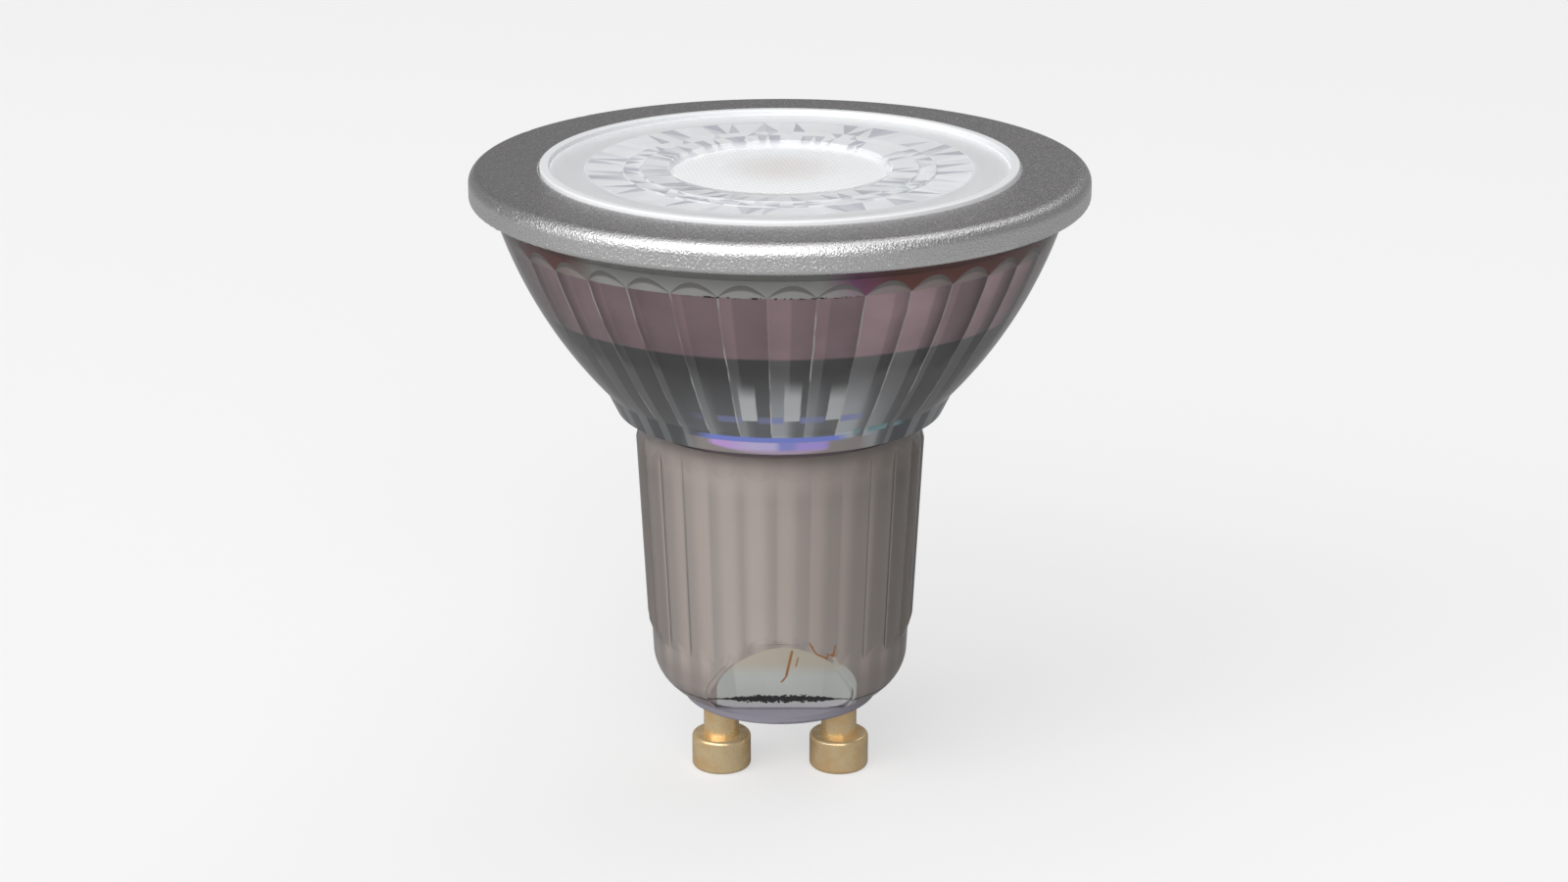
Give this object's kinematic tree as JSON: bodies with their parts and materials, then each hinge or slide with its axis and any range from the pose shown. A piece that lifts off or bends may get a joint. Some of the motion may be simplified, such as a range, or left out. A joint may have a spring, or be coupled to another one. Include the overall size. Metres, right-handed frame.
{
  "type": "gu10 spotlight bulb",
  "caption": "Glass reflector spotlight lamp with a pin base, a ribbed neck, a fluted cup, a faceted lens and a satin metal front bezel.",
  "frame": {"origin": "on the lamp's axis, level with the ends of the contact pins", "axes": "+Z along the lamp's axis towards the lens, +X along the row of the pins"},
  "size_m": [0.05, 0.05, 0.0529],
  "materials": {
    "clear_glass": "clear pressed glass",
    "bezel_metal": "satin with a fine grain",
    "lens_plastic": "clear moulded",
    "red_sealant": "satin",
    "liner_metal": "polished",
    "pad_grey": "matte",
    "white_board": "satin",
    "white_ceramic": "matte",
    "yellow_phosphor": "satin",
    "housing_plastic": "matte",
    "grey_filler": "matte",
    "pale_sealant": "satin",
    "board_laminate": "satin",
    "capacitor_sleeve": "gloss",
    "ferrite": "matte",
    "copper_wire": "enamelled",
    "fuse_coating": "satin",
    "film_case": "satin",
    "package_black": "matte",
    "pin_brass": "satin, turned",
    "lead_brown": "satin",
    "lead_blue": "satin",
    "lead_red": "satin",
    "lead_black": "satin"
  },
  "bodies": {
    "root": {"glass_envelope": "clear_glass", "front_bezel": "bezel_metal", "lens": "lens_plastic", "rim_sealant": "red_sealant", "heat_sink_liner": "liner_metal", "thermal_pad": "pad_grey", "led_board": "white_board", "led_carrier": "white_ceramic", "led_phosphor": "yellow_phosphor", "driver_housing": "housing_plastic", "driver_filler": "grey_filler", "base_sealant": "pale_sealant", "driver_board": "board_laminate", "electrolytic_capacitor": "capacitor_sleeve", "inductor_core": "ferrite", "inductor_winding": "copper_wire", "fuse_resistor": "fuse_coating", "film_capacitor": "film_case", "bridge_rectifier": "package_black", "driver_chip": "package_black", "chip_resistors": "white_ceramic", "contact_pin_left": "pin_brass", "contact_pin_right": "pin_brass", "pin_lead_left": "lead_blue", "pin_lead_right": "lead_brown", "led_lead_negative": "lead_black", "led_lead_positive": "lead_red"}
  },
  "joints": []
}
